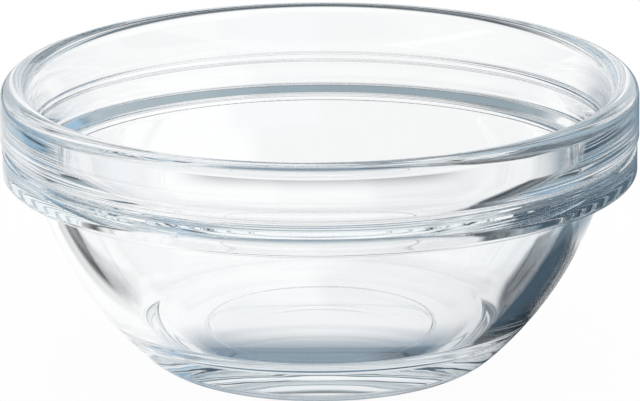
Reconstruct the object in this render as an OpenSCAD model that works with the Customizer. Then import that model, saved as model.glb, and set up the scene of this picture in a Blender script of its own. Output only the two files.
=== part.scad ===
// Stackable prep bowl, pressed from clear tempered glass in one piece.
// Millimetres, +Z up, origin at the middle of the face that it stands on.

/* [Overall] */
// Outer diameter of the rim
rim_diameter = 90; // [80:1:110]
// Height from the standing face to the top of the lip
height = 41; // [37:0.5:48]

/* [Collar] */
// Thickness of the rounded lip
lip_thickness = 3.9; // [3:0.1:4.4]
// Depth of the collar, from the top of the lip to the ledge under it
collar_depth = 13.2; // [11:0.1:16]
// How far the band under the groove is set in from the rim
lower_band_inset = 0.25; // [0:0.05:0.6]
// Depth of the groove's middle below the top of the lip
groove_drop = 8.6; // [6:0.1:9.6]
// Radius of the groove's round bottom
groove_radius = 0.75; // [0.5:0.05:1.1]
// Depth of the groove, measured from the rim's outer face
groove_depth = 0.7; // [0.4:0.05:1]
// Lean of the collar's inner face from the upright, in degrees
collar_draft = 9.5; // [5:0.5:13]
// Height of the collar's straight inner face under the lip
collar_face = 4; // [2:0.1:5.5]
// Radius of the hollow curve under that face
collar_curve = 13; // [9:0.5:17]
// Radius of the shoulder between the hollow curve and the wall
shoulder_curve = 8; // [5:0.5:11]
// Width of the ledge that rests on the rim of a bowl below
ledge_width = 4.25; // [3.5:0.05:6]
// Rounding of the collar's lower edge
ledge_rounding = 0.7; // [0.3:0.05:1.2]

/* [Wall] */
// Thickness of the wall between the collar and the base
wall_thickness = 3.3; // [2.8:0.1:3.8]
// Radius of the wall's outer curve, seen from the side
wall_curve = 51.7; // [44:0.1:70]

/* [Base] */
// Outer diameter of the flat foot ring
foot_diameter = 37.6; // [34:0.1:42]
// Width of the flat foot ring
foot_ring_width = 2.4; // [1.6:0.1:3.5]
// Rounding between the wall and the foot ring
foot_rounding = 9.5; // [6:0.1:12]
// Height of the inner floor above the standing face
floor_height = 7.4; // [6:0.1:9]
// Rounding between the inner floor and the inner wall
floor_rounding = 6; // [4:0.5:9]
// How far the foot ring stands out from the underside
recess_step = 0.8; // [0.5:0.05:1.2]
// Further rise of the underside's dome at the middle
recess_dome = 0.8; // [0.4:0.05:1.4]
// Rounding inside the foot ring
recess_rounding = 0.5; // [0.2:0.05:0.8]

/* [Hidden] */
$fn = 128;
// Overrun of the cuts that leave the glass at the top or the bottom
overrun = 1;
// Reach of a corner's cut-out, in radii of its rounding
corner_reach_share = 2;

rim_radius = rim_diameter / 2;
lip_radius = lip_thickness / 2;
lip_centre = [rim_radius - lip_radius, height - lip_radius];
band_radius = rim_radius - lower_band_inset;
ledge_height = height - collar_depth;
groove_height = height - groove_drop;
foot_radius = foot_diameter / 2;
recess_radius = foot_radius - foot_ring_width;
dome_radius = (recess_radius * recess_radius + recess_dome * recess_dome) / (2 * recess_dome);

right = [1, 0];
up = [0, 1];
down = [0, -1];

function unit(v) = v / norm(v);
function across(v) = [v.y, -v.x];

// Point that lies given distances from two others, on the right hand from the first to the second.
function meeting(first, first_reach, second, second_reach) =
    let (
        span = norm(second - first),
        along = unit(second - first),
        run = (first_reach * first_reach - second_reach * second_reach + span * span) / (2 * span)
    )
    first + along * run + across(along) * sqrt(first_reach * first_reach - run * run);

// The outer wall is one arc from the ledge's inner edge, and runs on smoothly into the foot's rounding.
wall_top = [band_radius - ledge_width, ledge_height];
foot_middle = [foot_radius, foot_rounding];
wall_middle = meeting(wall_top, wall_curve, foot_middle, wall_curve - foot_rounding);

// The inner wall runs parallel to it, up to a shoulder. A hollow curve leads on to the leaning face under the lip.
inner_curve = wall_curve - wall_thickness;
inward = [-cos(collar_draft), sin(collar_draft)];
face_top = lip_centre + lip_radius * inward;
face_foot = face_top - collar_face * across(inward);
collar_middle = face_foot + collar_curve * inward;
shoulder_middle = meeting(
    wall_middle, inner_curve + shoulder_curve, collar_middle, collar_curve + shoulder_curve
);
wall_head = wall_middle + inner_curve * unit(shoulder_middle - wall_middle);
shoulder_head = collar_middle + collar_curve * unit(shoulder_middle - collar_middle);

// The inner floor's rounding touches both the floor and the inner wall.
floor_middle_height = floor_height + floor_rounding;
floor_middle_drop = wall_middle.y - floor_middle_height;
floor_middle_reach = sqrt(pow(inner_curve - floor_rounding, 2) - pow(floor_middle_drop, 2));
floor_middle = [wall_middle.x + floor_middle_reach, floor_middle_height];

// Rounds one outward corner of the outline: the corner between two sides gives way to an arc.
module rounded_corner(middle, rounding, side_a, side_b) {
    reach = corner_reach_share * rounding;
    difference() {
        children();
        translate(middle)
            polygon([[0, 0], reach * side_a, reach * (side_a + side_b), reach * side_b]);
    }
    translate(middle) circle(rounding);
}

// Half outline of the collar's two bands, filled in to the axis.
module collar_outline() {
    difference() {
        union() {
            translate([0, groove_height]) square([rim_radius, lip_centre.y - groove_height]);
            rounded_corner(
                [band_radius - ledge_rounding, ledge_height + ledge_rounding], ledge_rounding, right, down
            )
                translate([0, ledge_height]) square([band_radius, groove_height - ledge_height]);
        }
        translate([rim_radius - groove_depth + groove_radius, groove_height]) circle(groove_radius);
    }
}

// Half outline of the bowl's body below the collar, filled in to the axis.
module body_outline() {
    rounded_corner(foot_middle, foot_rounding, unit(foot_middle - wall_middle), down)
        intersection() {
            translate(wall_middle) circle(wall_curve);
            square([rim_radius, ledge_height]);
        }
}

// Half outline of the space inside the bowl, open at the top.
module inside_outline() {
    rounded_corner(floor_middle, floor_rounding, unit(floor_middle - wall_middle), down)
        intersection() {
            translate(wall_middle) circle(inner_curve);
            translate([0, floor_height]) square([rim_radius, height - floor_height]);
        }
    translate(collar_middle) circle(collar_curve);
    difference() {
        polygon([wall_middle, wall_head, shoulder_head, collar_middle]);
        translate(shoulder_middle) circle(shoulder_curve);
    }
    polygon([
        collar_middle,
        face_foot,
        face_top,
        lip_centre,
        [lip_centre.x, height + overrun],
        [wall_middle.x, height + overrun]
    ]);
}

// Half outline of the recess inside the foot ring.
module recess_outline() {
    rounded_corner(
        [recess_radius - recess_rounding, recess_step - recess_rounding], recess_rounding, right, up
    )
        translate([0, -overrun]) square([recess_radius, recess_step + overrun]);
    intersection() {
        translate([0, recess_step + recess_dome - dome_radius]) circle(dome_radius);
        square([recess_radius, recess_step + recess_dome]);
    }
}

// The half section of the glass, to the right of the axis.
module glass_section() {
    difference() {
        union() {
            collar_outline();
            body_outline();
        }
        inside_outline();
        recess_outline();
    }
    translate(lip_centre) circle(lip_radius);
}

// The bowl itself: one solid of glass turned about the axis.
module glass_bowl() {
    color([0.80, 0.88, 0.92, 0.45])
        rotate_extrude()
            intersection() {
                glass_section();
                square([rim_radius, height]);
            }
}

glass_bowl();
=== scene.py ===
"""Looks of a stackable prep bowl, pressed from clear glass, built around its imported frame."""

import logging
import math
from dataclasses import dataclass
from enum import Enum

import bmesh
import bpy
from mathutils import Euler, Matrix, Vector


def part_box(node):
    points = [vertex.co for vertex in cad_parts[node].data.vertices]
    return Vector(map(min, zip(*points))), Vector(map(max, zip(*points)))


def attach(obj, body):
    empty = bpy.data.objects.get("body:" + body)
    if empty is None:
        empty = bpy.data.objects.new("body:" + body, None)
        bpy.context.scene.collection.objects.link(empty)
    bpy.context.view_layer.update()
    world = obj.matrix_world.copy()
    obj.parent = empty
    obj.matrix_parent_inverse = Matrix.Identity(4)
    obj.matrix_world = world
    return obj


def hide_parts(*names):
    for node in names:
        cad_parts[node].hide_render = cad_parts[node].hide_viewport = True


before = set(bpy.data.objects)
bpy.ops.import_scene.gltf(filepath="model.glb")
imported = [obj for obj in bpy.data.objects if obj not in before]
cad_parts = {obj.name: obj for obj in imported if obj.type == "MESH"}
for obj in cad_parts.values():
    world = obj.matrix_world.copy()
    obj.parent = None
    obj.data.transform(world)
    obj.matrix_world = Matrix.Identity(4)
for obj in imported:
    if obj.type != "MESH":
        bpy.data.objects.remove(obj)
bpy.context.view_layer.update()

log = logging.getLogger("prep_bowl")

MM = 0.001
FULL_TURN = 2 * math.pi
HALF_TURN = 180.0
TOUCH = 0.01 * MM
PHOTO_WIDTH = 640

Colour = tuple[float, float, float, float]
Socket = bpy.types.NodeSocket


class Bend(Enum):
    """Which way an arc of the section runs, seen with the axis on the left."""

    LEFT = 1
    RIGHT = -1


def flat(x: float, y: float) -> Vector:
    """Returns a point or direction of the half section: distance from the axis, then height."""
    return Vector((x, y))


def across(along: Vector) -> Vector:
    """Returns the direction square to another one, on its right hand."""
    return flat(along.y, -along.x)


def meeting(first: Vector, first_reach: float, second: Vector, second_reach: float) -> Vector:
    """Finds the point that lies given distances from two others.

    Args:
        first: The first point.
        first_reach: How far from the first point.
        second: The second point.
        second_reach: How far from the second point.

    Returns:
        The one of the two such points on the right hand, going from the first to the second.
    """
    span = (second - first).length
    along = (second - first).normalized()
    run = (first_reach**2 - second_reach**2 + span**2) / (2 * span)
    return first + along * run + across(along) * math.sqrt(first_reach**2 - run**2)


class SectionPen:
    """Draws a half section as a chain of lines and arcs, in the plane y = 0."""

    def __init__(self, mesh: bmesh.types.BMesh, start: Vector) -> None:
        """Sets the pen down.

        Args:
            mesh: The mesh that takes the drawing.
            start: The first point of the section.
        """
        self.mesh = mesh
        self.tip = mesh.verts.new((start.x, 0, start.y))

    def line_to(self, point: Vector) -> None:
        """Draws a straight line to a point."""
        self.tip = bmesh.ops.extrude_vert_indiv(self.mesh, verts=[self.tip])["verts"][0]
        self.tip.co = (point.x, 0, point.y)

    def arc_to(self, point: Vector, middle: Vector, bend: Bend, steps: int) -> None:
        """Draws an arc to a point.

        Args:
            point: Where the arc ends.
            middle: The arc's middle, as far from its end as from its start.
            bend: The way that the arc runs.
            steps: How many straight steps stand for the arc.
        """
        start = flat(self.tip.co.x, self.tip.co.z) - middle
        end = point - middle
        turn = math.atan2(end.y, end.x) - math.atan2(start.y, start.x)
        turn = bend.value * ((bend.value * turn) % FULL_TURN)
        made = bmesh.ops.spin(
            self.mesh,
            geom=[self.tip],
            cent=(middle.x, 0, middle.y),
            axis=(0, -1, 0),
            angle=turn,
            steps=steps,
        )
        self.tip = next(v for v in made["geom_last"] if isinstance(v, bmesh.types.BMVert))


class NodeBoard:
    """Puts nodes on a node tree and wires them."""

    # The colour sockets of a mix node share their names with its other kinds, so they go by number.
    MIX_UNDER = 6
    MIX_OVER = 7
    MIX_RESULT = 2

    def __init__(self, tree: bpy.types.NodeTree) -> None:
        """Keeps the tree that the nodes go on."""
        self.tree = tree

    def add(self, kind: str) -> bpy.types.Node:
        """Returns a new node of a kind."""
        return self.tree.nodes.new(kind)

    def feed(self, socket: Socket, value: Socket | float | Colour) -> None:
        """Wires a socket to another one, or sets its value.

        Args:
            socket: The socket to feed.
            value: The socket that it takes its value from, or the value itself.
        """
        if isinstance(value, bpy.types.NodeSocket):
            self.tree.links.new(value, socket)
        else:
            socket.default_value = value

    def math(self, operation: str, *values: Socket | float) -> Socket:
        """Works out a number.

        Args:
            operation: The name of the operation.
            values: What it is done to.

        Returns:
            The result's socket.
        """
        node = self.add("ShaderNodeMath")
        node.operation = operation
        for socket, value in zip(node.inputs, values):
            self.feed(socket, value)
        return node.outputs["Value"]

    def fade(self, value: Socket, full: float, gone: float) -> Socket:
        """Makes a soft edge.

        Args:
            value: The number that crosses the edge.
            full: Where the result is still 1.
            gone: Where the result has become 0.

        Returns:
            The result's socket.
        """
        node = self.add("ShaderNodeMapRange")
        node.interpolation_type = "SMOOTHSTEP"
        self.feed(node.inputs["Value"], value)
        node.inputs["From Min"].default_value = full
        node.inputs["From Max"].default_value = gone
        node.inputs["To Min"].default_value = 1.0
        node.inputs["To Max"].default_value = 0.0
        return node.outputs["Result"]

    def band(self, value: Socket, width: float, softness: float) -> Socket:
        """Makes a band with two soft edges.

        Args:
            value: The distance from the band's middle, to either side.
            width: The band's width, from the middle of one edge to that of the other.
            softness: The width of each edge.

        Returns:
            The socket of a number that is 1 inside the band and 0 outside it.
        """
        return self.fade(self.math("ABSOLUTE", value), (width - softness) / 2, (width + softness) / 2)

    def mix(self, share: Socket, under: Socket | Colour, over: Socket | Colour) -> Socket:
        """Lays one colour over another.

        Args:
            share: How much of the upper colour shows.
            under: The lower colour.
            over: The upper colour.

        Returns:
            The result's socket.
        """
        node = self.add("ShaderNodeMix")
        node.data_type = "RGBA"
        self.feed(node.inputs["Factor"], share)
        self.feed(node.inputs[self.MIX_UNDER], under)
        self.feed(node.inputs[self.MIX_OVER], over)
        return node.outputs[self.MIX_RESULT]

    def seen_by_glass(self) -> Socket:
        """Returns 1 for a ray that a glossy or see-through surface sent on, and otherwise 0."""
        path = self.add("ShaderNodeLightPath")
        return self.math("MAXIMUM", path.outputs["Is Glossy Ray"], path.outputs["Is Transmission Ray"])


@dataclass(frozen=True)
class ClearGlass:
    """Finish of clear pressed glass: colourless in a thin wall, faintly blue-green in a thick one."""

    refraction: float = 1.52
    tint: Colour = (0.995, 0.998, 1, 1)
    depth_tint: Colour = (0.62, 0.86, 0.93, 1)
    depth_density: float = 1.5
    wave_size: float = 12 * MM
    wave_depth: float = 0.012 * MM
    wave_detail: float = 1.0
    haze: float = 0.004

    def make(self, name: str) -> bpy.types.Material:
        """Makes the material.

        Args:
            name: The material's name.

        Returns:
            The finished material.
        """
        material = bpy.data.materials.new(name)
        material.use_nodes = True
        board = NodeBoard(material.node_tree)
        shader = material.node_tree.nodes["Principled BSDF"]
        shader.inputs["Base Color"].default_value = self.tint
        shader.inputs["Transmission Weight"].default_value = 1.0
        shader.inputs["IOR"].default_value = self.refraction
        waves = self._waves(board)
        board.feed(shader.inputs["Roughness"], board.math("MULTIPLY", waves, self.haze))
        relief = board.add("ShaderNodeBump")
        relief.inputs["Strength"].default_value = 1.0
        relief.inputs["Distance"].default_value = self.wave_depth
        board.feed(relief.inputs["Height"], waves)
        board.feed(shader.inputs["Normal"], relief.outputs["Normal"])
        depth = board.add("ShaderNodeVolumeAbsorption")
        depth.inputs["Color"].default_value = self.depth_tint
        depth.inputs["Density"].default_value = self.depth_density
        output = material.node_tree.nodes["Material Output"]
        board.feed(output.inputs["Volume"], depth.outputs["Volume"])
        return material

    def _waves(self, board: NodeBoard) -> Socket:
        """Makes the slow unevenness that pressing leaves in the surface.

        Args:
            board: The glass's nodes.

        Returns:
            The socket of a number from 0 to 1.
        """
        noise = board.add("ShaderNodeTexNoise")
        board.feed(noise.inputs["Vector"], board.add("ShaderNodeTexCoord").outputs["Object"])
        noise.inputs["Scale"].default_value = 1 / self.wave_size
        noise.inputs["Detail"].default_value = self.wave_detail
        return noise.outputs["Fac"]


@dataclass
class GlassBowl:
    """The bowl: one turned piece of glass. Sizes are in metres."""

    rim_radius: float
    height: float
    lip_radius: float = 1.95 * MM
    collar_depth: float = 13.2 * MM
    lower_band_inset: float = 0.25 * MM
    collar_draft: float = math.radians(9.5)
    collar_face: float = 4 * MM
    collar_curve: float = 13 * MM
    shoulder_curve: float = 8 * MM
    groove_drop: float = 8.6 * MM
    groove_radius: float = 0.75 * MM
    groove_depth: float = 0.7 * MM
    groove_softness: float = 0.25 * MM
    ledge_width: float = 4.25 * MM
    ledge_rounding: float = 0.7 * MM
    ledge_fillet: float = 0.8 * MM
    wall_thickness: float = 3.3 * MM
    wall_curve: float = 51.7 * MM
    foot_radius: float = 18.8 * MM
    foot_ring_width: float = 2.4 * MM
    foot_rounding: float = 9.5 * MM
    foot_softness: float = 0.3 * MM
    floor_height: float = 7.4 * MM
    floor_rounding: float = 6 * MM
    recess_step: float = 0.8 * MM
    recess_dome: float = 0.8 * MM
    recess_rounding: float = 0.5 * MM
    turn_steps: int = 240
    floor_steps: int = 32
    inner_wall_steps: int = 20
    shoulder_steps: int = 16
    collar_steps: int = 16
    lip_steps: int = 36
    groove_steps: int = 16
    outer_wall_steps: int = 40
    foot_steps: int = 24
    dome_steps: int = 12
    corner_steps: int = 8

    def __post_init__(self) -> None:
        """Works out the section's points from the driving sizes."""
        self.lip_middle = flat(self.rim_radius - self.lip_radius, self.height - self.lip_radius)
        self.band_radius = self.rim_radius - self.lower_band_inset
        self.ledge_height = self.height - self.collar_depth
        self.groove_height = self.height - self.groove_drop
        self.groove_middle = flat(
            self.rim_radius - self.groove_depth + self.groove_radius, self.groove_height
        )
        self.wall_top = flat(self.band_radius - self.ledge_width, self.ledge_height)
        self.foot_middle = flat(self.foot_radius, self.foot_rounding)
        self.wall_middle = self._wall_middle()
        self.inner_curve = self.wall_curve - self.wall_thickness
        self.recess_radius = self.foot_radius - self.foot_ring_width
        self.dome_radius = (self.recess_radius**2 + self.recess_dome**2) / (2 * self.recess_dome)

    def _wall_middle(self) -> Vector:
        """Returns the middle of the wall's arc, which runs on smoothly into the foot's rounding."""
        return meeting(
            self.wall_top, self.wall_curve, self.foot_middle, self.wall_curve - self.foot_rounding
        )

    def _groove_edge(self, face_radius: float, above: bool) -> Vector:
        """Returns where the groove's round bottom meets a band's face, above or below its middle."""
        reach = math.sqrt(self.groove_radius**2 - (self.groove_middle.x - face_radius) ** 2)
        return flat(face_radius, self.groove_height + (reach if above else -reach))

    def _draw_inside(self, mesh: bmesh.types.BMesh) -> SectionPen:
        """Draws the section from the middle of the inner floor up to the lip's outer face.

        Args:
            mesh: The mesh that takes the drawing.

        Returns:
            The pen, at the top of the collar's outer face.
        """
        drop = self.wall_middle.y - self.floor_height - self.floor_rounding
        reach = math.sqrt((self.inner_curve - self.floor_rounding) ** 2 - drop**2)
        floor_middle = self.wall_middle + flat(reach, -drop)
        floor_edge = flat(floor_middle.x, self.floor_height)
        wall_foot = floor_middle + (floor_middle - self.wall_middle).normalized() * self.floor_rounding
        inward = flat(-math.cos(self.collar_draft), math.sin(self.collar_draft))
        face_top = self.lip_middle + inward * self.lip_radius
        face_foot = face_top - across(inward) * self.collar_face
        collar_middle = face_foot + inward * self.collar_curve
        shoulder_middle = meeting(
            self.wall_middle,
            self.inner_curve + self.shoulder_curve,
            collar_middle,
            self.collar_curve + self.shoulder_curve,
        )
        wall_head = self.wall_middle + (shoulder_middle - self.wall_middle).normalized() * self.inner_curve
        shoulder_head = collar_middle + (shoulder_middle - collar_middle).normalized() * self.collar_curve
        lip_end = flat(self.rim_radius, self.lip_middle.y)
        pen = SectionPen(mesh, flat(0, self.floor_height))
        pen.line_to(floor_edge)
        pen.arc_to(wall_foot, floor_middle, Bend.LEFT, self.floor_steps)
        pen.arc_to(wall_head, self.wall_middle, Bend.LEFT, self.inner_wall_steps)
        pen.arc_to(shoulder_head, shoulder_middle, Bend.RIGHT, self.shoulder_steps)
        pen.arc_to(face_foot, collar_middle, Bend.LEFT, self.collar_steps)
        pen.line_to(face_top)
        pen.arc_to(lip_end, self.lip_middle, Bend.RIGHT, self.lip_steps)
        return pen

    def _draw_outside(self, pen: SectionPen) -> None:
        """Draws the section from the lip's outer face down to the middle of the underside.

        Args:
            pen: The pen, at the top of the collar's outer face.
        """
        groove_foot = self._groove_edge(self.band_radius, above=False)
        away = (self.foot_middle - self.wall_middle).normalized()
        wall_foot = self.foot_middle + away * self.foot_rounding
        dome_top = flat(0, self.recess_step + self.recess_dome)
        dome_middle = dome_top - flat(0, self.dome_radius)
        pen.line_to(self._groove_edge(self.rim_radius, above=True))
        pen.arc_to(groove_foot, self.groove_middle, Bend.LEFT, self.groove_steps)
        pen.line_to(flat(self.band_radius, self.ledge_height))
        pen.line_to(self.wall_top)
        pen.arc_to(wall_foot, self.wall_middle, Bend.RIGHT, self.outer_wall_steps)
        pen.arc_to(flat(self.foot_radius, 0), self.foot_middle, Bend.RIGHT, self.foot_steps)
        pen.line_to(flat(self.recess_radius, 0))
        pen.line_to(flat(self.recess_radius, self.recess_step))
        pen.arc_to(dome_top, dome_middle, Bend.LEFT, self.dome_steps)

    def _ring(self, mesh: bmesh.types.BMesh, corner: Vector) -> list[bmesh.types.BMEdge]:
        """Finds the ring that a corner of the section makes when it is turned.

        Args:
            mesh: The turned mesh.
            corner: The corner of the section.

        Returns:
            The ring's edges.
        """
        def on_ring(vert: bmesh.types.BMVert) -> bool:
            """Tells whether a vertex lies on the ring."""
            return (flat(vert.co.xy.length, vert.co.z) - corner).length < TOUCH

        return [e for e in mesh.edges if on_ring(e.verts[0]) and on_ring(e.verts[1])]

    def _soften(self, mesh: bmesh.types.BMesh) -> None:
        """Rounds the section's sharp corners, as fire-polished glass has none.

        Args:
            mesh: The turned mesh.
        """
        corners = (
            (self._groove_edge(self.rim_radius, above=True), self.groove_softness),
            (self._groove_edge(self.band_radius, above=False), self.groove_softness),
            (flat(self.band_radius, self.ledge_height), self.ledge_rounding),
            (self.wall_top, self.ledge_fillet),
            (flat(self.recess_radius, 0), self.foot_softness),
            (flat(self.recess_radius, self.recess_step), self.recess_rounding),
        )
        for corner, rounding in corners:
            bmesh.ops.bevel(
                mesh,
                geom=self._ring(mesh, corner),
                offset=rounding,
                offset_type="OFFSET",
                affect="EDGES",
                segments=self.corner_steps,
                profile=0.5,
                material=-1,
            )

    def build(self) -> bpy.types.Object:
        """Models the bowl.

        Returns:
            The bowl's object, with its place in its mesh.
        """
        mesh = bmesh.new()
        pen = self._draw_inside(mesh)
        self._draw_outside(pen)
        bmesh.ops.spin(
            mesh,
            geom=mesh.verts[:] + mesh.edges[:],
            cent=(0, 0, 0),
            axis=(0, 0, 1),
            angle=FULL_TURN,
            steps=self.turn_steps,
            use_merge=True,
        )
        bmesh.ops.remove_doubles(mesh, verts=mesh.verts[:], dist=TOUCH)
        bmesh.ops.recalc_face_normals(mesh, faces=mesh.faces[:])
        self._soften(mesh)
        for face in mesh.faces:
            face.smooth = True
        data = bpy.data.meshes.new("pressed_glass_bowl")
        mesh.to_mesh(data)
        mesh.free()
        bowl = bpy.data.objects.new("pressed_glass_bowl", data)
        bpy.context.scene.collection.objects.link(bowl)
        evened = bowl.modifiers.new("even_shading", "WEIGHTED_NORMAL")
        evened.mode = "FACE_AREA"
        return bowl

    def dress(self, bowl: bpy.types.Object, finish: ClearGlass) -> None:
        """Gives the bowl its finish and ties it to the frame.

        Args:
            bowl: The bowl's object.
            finish: The glass that it is made of.
        """
        bowl.data.materials.append(finish.make("clear_pressed_glass"))
        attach(bowl, "root")
        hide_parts("glass_bowl")


def grey(level: float) -> Colour:
    """Returns a plain grey."""
    return (level, level, level, 1)


def steel(level: float) -> Colour:
    """Returns a pale cool grey, as a lit wall of the studio shows it."""
    return (0.74 * level, 0.92 * level, 1.02 * level, 1)


def slate(level: float) -> Colour:
    """Returns a deep cool grey, as the studio's unlit parts show it."""
    return (0.52 * level, 0.83 * level, 1.12 * level, 1)


@dataclass(frozen=True)
class StudioPanel:
    """A softbox or a flag round the bowl. Angles are in degrees, azimuth 0 straight behind the bowl."""

    azimuth: float
    elevation: float
    width: float
    height: float
    softness: float
    colour: Colour

    def lay(self, board: NodeBoard, azimuth: Socket, elevation: Socket, under: Socket | Colour) -> Socket:
        """Lays the panel over the colours of the panels before it.

        Args:
            board: The world's nodes.
            azimuth: The direction's azimuth.
            elevation: The direction's elevation.
            under: The colour so far.

        Returns:
            The new colour's socket.
        """
        aside = board.math("WRAP", board.math("SUBTRACT", azimuth, self.azimuth), HALF_TURN, -HALF_TURN)
        above = board.math("SUBTRACT", elevation, self.elevation)
        wide = board.band(aside, self.width, self.softness)
        high = board.band(above, self.height, self.softness)
        return board.mix(board.math("MULTIPLY", wide, high), under, self.colour)


@dataclass(frozen=True)
class FloorShade:
    """A soft-edged patch of the floor, as the glass sees it; the white and pale sheets are plain colours,
    the dark patches are painted shade. Sizes are in metres, the turn in degrees.
    """

    x: float
    y: float
    turn: float
    width: float
    depth: float
    softness: float
    colour: Colour

    def lay(self, board: NodeBoard, x: Socket, y: Socket, under: Socket | Colour) -> Socket:
        """Lays the patch over the floor's colour so far.

        Args:
            board: The floor's nodes.
            x: The point's place across the view.
            y: The point's place along the view.
            under: The colour so far.

        Returns:
            The new colour's socket.
        """
        cosine = math.cos(math.radians(self.turn))
        sine = math.sin(math.radians(self.turn))
        shift_x = board.math("SUBTRACT", x, self.x)
        shift_y = board.math("SUBTRACT", y, self.y)
        aside = board.math("MULTIPLY_ADD", shift_x, cosine, board.math("MULTIPLY", shift_y, sine))
        behind = board.math("MULTIPLY_ADD", shift_y, cosine, board.math("MULTIPLY", shift_x, -sine))
        wide = board.band(aside, self.width, self.softness)
        deep = board.band(behind, self.depth, self.softness)
        return board.mix(board.math("MULTIPLY", wide, deep), under, self.colour)


CEILING = StudioPanel(azimuth=0, elevation=85, width=400, height=60, softness=14, colour=grey(0.95))
RIGHT_SOFTBOX = StudioPanel(azimuth=110, elevation=28, width=76, height=72, softness=14, colour=grey(1.0))
RIGHT_WALL = StudioPanel(azimuth=56, elevation=28, width=24, height=70, softness=12, colour=slate(0.60))
FRONT_WALL = StudioPanel(azimuth=160, elevation=8, width=40, height=30, softness=8, colour=slate(0.60))
LEFT_SOFTBOX = StudioPanel(azimuth=-58, elevation=25, width=36, height=60, softness=12, colour=grey(0.95))
REAR_DARK = StudioPanel(azimuth=0, elevation=26, width=80, height=56, softness=5, colour=slate(0.02))
REAR_WALL = StudioPanel(azimuth=0, elevation=37, width=96, height=18, softness=8, colour=steel(0.46))
BACKDROP = StudioPanel(azimuth=0, elevation=8, width=70, height=28, softness=4, colour=grey(1.0))
PANELS = (CEILING, RIGHT_SOFTBOX, RIGHT_WALL, FRONT_WALL, LEFT_SOFTBOX, REAR_DARK, REAR_WALL, BACKDROP)
ROOM = slate(0.10)
TABLE = slate(0.22)
PAPER = FloorShade(x=-0.045, y=0, turn=0, width=0.190, depth=1.800, softness=0.016, colour=grey(1.0))
# Painted shadow: a dark patch on the floor to the right of the bowl, seen only by the glass.
RIGHT_PAINTED_SHADOW = FloorShade(
    x=0.032, y=-0.015, turn=-25, width=0.030, depth=0.100, softness=0.005, colour=slate(0.12)
)
RIGHT_SHEET = FloorShade(
    x=0.072, y=0.005, turn=-25, width=0.046, depth=0.110, softness=0.010, colour=steel(0.60)
)
# Painted shade: a near-black strip along the near edge of the painted shadow on the right, seen only by
# the glass.
RIGHT_PAINTED_SHADOW_EDGE = FloorShade(
    x=0.034, y=0.012, turn=-25, width=0.010, depth=0.060, softness=0.004, colour=slate(0.01)
)
# Painted shade: a narrow near-black strip on the floor at the bowl's left front, seen only by the glass.
LEFT_PAINTED_SHADE_STRIP = FloorShade(
    x=-0.053, y=0.007, turn=30, width=0.010, depth=0.050, softness=0.004, colour=slate(0.02)
)
# Painted shadow: a dark patch on the floor under the front of the bowl, seen only by the glass.
UNDER_FRONT_PAINTED_SHADOW = FloorShade(
    x=0, y=-0.025, turn=0, width=0.046, depth=0.038, softness=0.014, colour=slate(0.28)
)
# Painted shadow: a small dark spot on the floor under the right front of the bowl, seen only by the glass.
UNDER_RIGHT_PAINTED_SHADOW = FloorShade(
    x=0.013, y=-0.015, turn=0, width=0.010, depth=0.008, softness=0.005, colour=slate(0.10)
)
# Painted shadow: a dark patch on the floor just behind the bowl, seen only by the glass.
BEHIND_PAINTED_SHADOW = FloorShade(x=0, y=0.066, turn=0, width=0.046, depth=0.022, softness=0.010, colour=slate(0.08))
SHADES = (PAPER, RIGHT_SHEET, RIGHT_PAINTED_SHADOW, RIGHT_PAINTED_SHADOW_EDGE, LEFT_PAINTED_SHADE_STRIP, UNDER_FRONT_PAINTED_SHADOW, UNDER_RIGHT_PAINTED_SHADOW, BEHIND_PAINTED_SHADOW)


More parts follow.
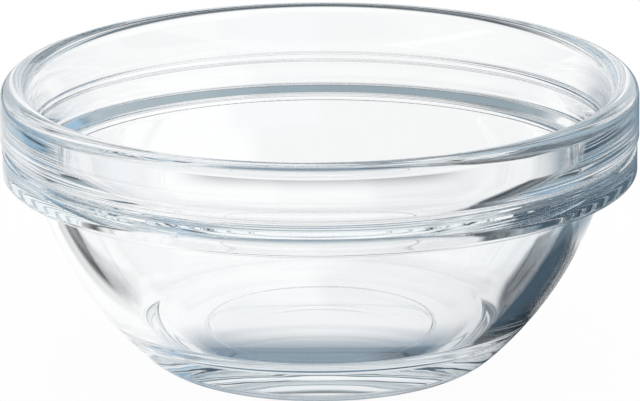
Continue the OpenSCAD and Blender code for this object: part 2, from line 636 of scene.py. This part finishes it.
@dataclass
class Studio:
    """The pale floor, the soft light round the bowl and the camera."""

    rim_radius: float
    height: float
    floor_size: float = 6.0
    paper_glow: float = 0.95
    target_drop_share: float = 0.3906
    distance_share: float = 30.0
    elevation: float = math.radians(15.883)
    roll: float = math.radians(-0.324)
    focal_pixels: float = 9566.0
    nearest: float = 0.01
    farthest: float = 20.0
    bounces: int = 48

    def add_floor(self) -> bpy.types.Object:
        """Makes the floor.

        Returns:
            The floor's object.
        """
        mesh = bmesh.new()
        bmesh.ops.create_grid(mesh, x_segments=1, y_segments=1, size=self.floor_size)
        data = bpy.data.meshes.new("floor")
        mesh.to_mesh(data)
        mesh.free()
        floor = bpy.data.objects.new("floor", data)
        bpy.context.scene.collection.objects.link(floor)
        floor.data.materials.append(self._floor_finish())
        return floor

    def _floor_finish(self) -> bpy.types.Material:
        """Makes the floor's material: white paper that keeps a faint shadow. Rays sent on by the glass see
        instead a darker table with painted shadows on it.

        Returns:
            The finished material.
        """
        material = bpy.data.materials.new("white_paper")
        material.use_nodes = True
        board = NodeBoard(material.node_tree)
        matt = material.node_tree.nodes["Principled BSDF"]
        matt.inputs["Roughness"].default_value = 1.0
        matt.inputs["Specular IOR Level"].default_value = 0.0
        place = board.add("ShaderNodeSeparateXYZ")
        board.feed(place.inputs[0], board.add("ShaderNodeTexCoord").outputs["Object"])
        shaded: Socket | Colour = TABLE
        for shade in SHADES:
            shaded = shade.lay(board, place.outputs["X"], place.outputs["Y"], shaded)
        paper = board.mix(board.seen_by_glass(), grey(1.0), shaded)
        board.feed(matt.inputs["Base Color"], paper)
        glow = board.add("ShaderNodeEmission")
        board.feed(glow.inputs["Color"], paper)
        blend = board.add("ShaderNodeMixShader")
        blend.inputs["Fac"].default_value = self.paper_glow
        board.feed(blend.inputs[1], matt.outputs["BSDF"])
        board.feed(blend.inputs[2], glow.outputs["Emission"])
        board.feed(material.node_tree.nodes["Material Output"].inputs["Surface"], blend.outputs["Shader"])
        return material

    def add_light(self) -> None:
        """Makes the world that lights the bowl."""
        world = bpy.data.worlds.new("studio")
        bpy.context.scene.world = world
        world.use_nodes = True
        board = NodeBoard(world.node_tree)
        ray = board.add("ShaderNodeSeparateXYZ")
        board.feed(ray.inputs[0], board.add("ShaderNodeTexCoord").outputs["Generated"])
        x, y, z = ray.outputs
        azimuth = board.math("DEGREES", board.math("ARCTAN2", x, y))
        elevation = board.math("DEGREES", board.math("ARCSINE", z))
        colour: Socket | Colour = ROOM
        for panel in PANELS:
            colour = panel.lay(board, azimuth, elevation, colour)
        backdrop = world.node_tree.nodes["Background"].inputs["Color"]
        board.feed(backdrop, board.mix(board.seen_by_glass(), grey(1.0), colour))

    def add_camera(self) -> bpy.types.Object:
        """Makes the camera at the photograph's viewing angle.

        Returns:
            The camera's object.
        """
        data = bpy.data.cameras.new("camera")
        data.lens = self.focal_pixels / PHOTO_WIDTH * data.sensor_width
        data.clip_start = self.nearest
        data.clip_end = self.farthest
        camera = bpy.data.objects.new("camera", data)
        bpy.context.scene.collection.objects.link(camera)
        target = Vector((0, 0, self.height - self.target_drop_share * self.rim_radius))
        back = Vector((0, -math.cos(self.elevation), math.sin(self.elevation)))
        camera.location = target + back * self.distance_share * self.rim_radius
        facing = Euler((math.pi / 2 - self.elevation, 0, 0)).to_quaternion()
        camera.rotation_mode = "QUATERNION"
        camera.rotation_quaternion = facing @ Euler((0, 0, self.roll)).to_quaternion()
        bpy.context.scene.camera = camera
        return camera

    def set_rendering(self) -> None:
        """Sets plain colours, and lets light bounce often enough inside the glass."""
        scene = bpy.context.scene
        scene.view_settings.view_transform = "Standard"
        scene.cycles.max_bounces = self.bounces
        scene.cycles.transmission_bounces = self.bounces
        scene.cycles.glossy_bounces = self.bounces


def main() -> None:
    """Builds the bowl and its studio."""
    logging.basicConfig(level=logging.INFO, format="%(name)s: %(message)s")
    low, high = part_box("glass_bowl")
    rim_radius = (high.x - low.x) / 2
    studio = Studio(rim_radius=rim_radius, height=high.z)
    studio.add_camera()
    studio.add_floor()
    studio.add_light()
    glass = GlassBowl(rim_radius=rim_radius, height=high.z)
    bowl = glass.build()
    glass.dress(bowl, ClearGlass())
    log.info("%s: %d faces", bowl.name, len(bowl.data.polygons))
    studio.set_rendering()


if __name__ == "__main__":
    main()
